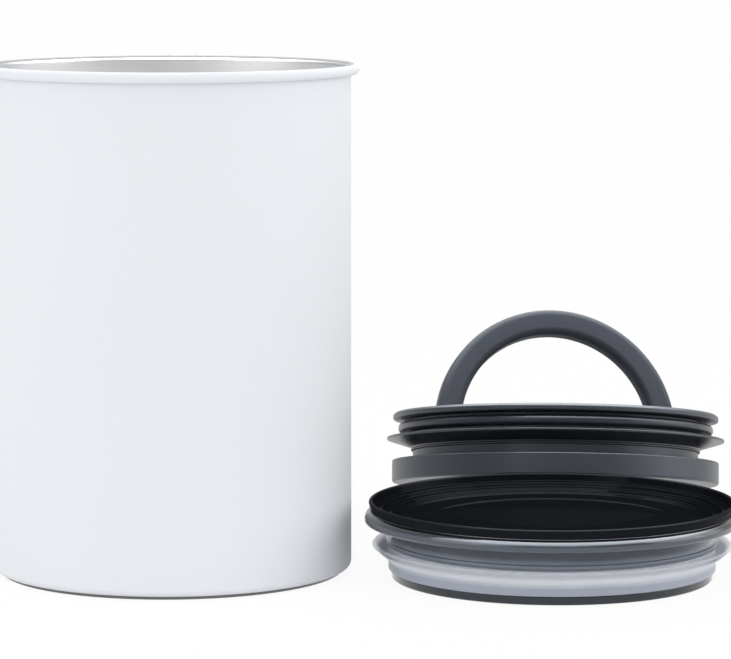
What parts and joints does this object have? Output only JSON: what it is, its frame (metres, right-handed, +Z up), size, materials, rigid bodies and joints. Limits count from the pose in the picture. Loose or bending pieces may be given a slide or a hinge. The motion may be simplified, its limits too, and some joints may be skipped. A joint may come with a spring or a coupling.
{
  "type": "coffee canister with valve",
  "caption": "Round steel food canister with a rolled rim, a smoked press-in outer lid with gasket, and a plunging inner lid whose folding handle works an air valve.",
  "frame": {"origin": "centre of the canister's underside, on the table", "axes": "+Z up along the canister's axis, +X from the canister towards the outer lid lying beside it, +Y from the outer lid towards the inner lid that leans on it"},
  "size_m": [0.2706, 0.2562, 0.178],
  "materials": {
    "white_paint": "matte",
    "steel": "brushed",
    "smoke_plastic": "glossy, smoky translucent",
    "clear_silicone": "translucent satin",
    "black_plastic": "matte",
    "black_rubber": "satin"
  },
  "bodies": {
    "canister": {"canister_wall": "white_paint", "base_pan": "steel"},
    "outer_lid": {"outer_lid_shell": "smoke_plastic", "outer_lid_gasket": "clear_silicone"},
    "inner_lid": {"plunger_cup": "black_plastic", "top_deck": "black_plastic", "lower_wiper": "black_rubber", "upper_wiper": "black_rubber", "deck_screws": "steel", "handle_pins": "steel", "valve_guard": "black_plastic", "valve_spring": "steel"},
    "handle": {"bail_handle": "black_plastic"},
    "valve": {"valve_bridge": "black_plastic", "valve_stem": "steel", "valve_disc": "clear_silicone", "valve_retainer": "steel"}
  },
  "joints": [
    {"name": "outer_lid_slide", "type": "slide", "parent": "canister", "child": "outer_lid", "axis": [0, -1, 0], "range_m": [0, 0.15]},
    {"name": "inner_lid_lift", "type": "slide", "parent": "canister", "child": "inner_lid", "axis": [0, 0, 1], "range_m": [0, 0.2]},
    {"name": "handle_fold", "type": "hinge", "parent": "inner_lid", "child": "handle", "pos_m": [0.14043, 0.11434, 0.03317], "axis": [0.9813, 0.1853, -0.0517], "range_deg": [0, 100]},
    {"name": "valve_lift", "type": "slide", "parent": "inner_lid", "child": "valve", "axis": [0.0121, 0.2091, 0.9778], "range_m": [0, 0.002], "deforming": ["valve_spring"]}
  ],
  "couplings": [
    {"joint": "valve_lift", "follows": "handle_fold", "m_per_rad": 0.0011459}
  ]
}
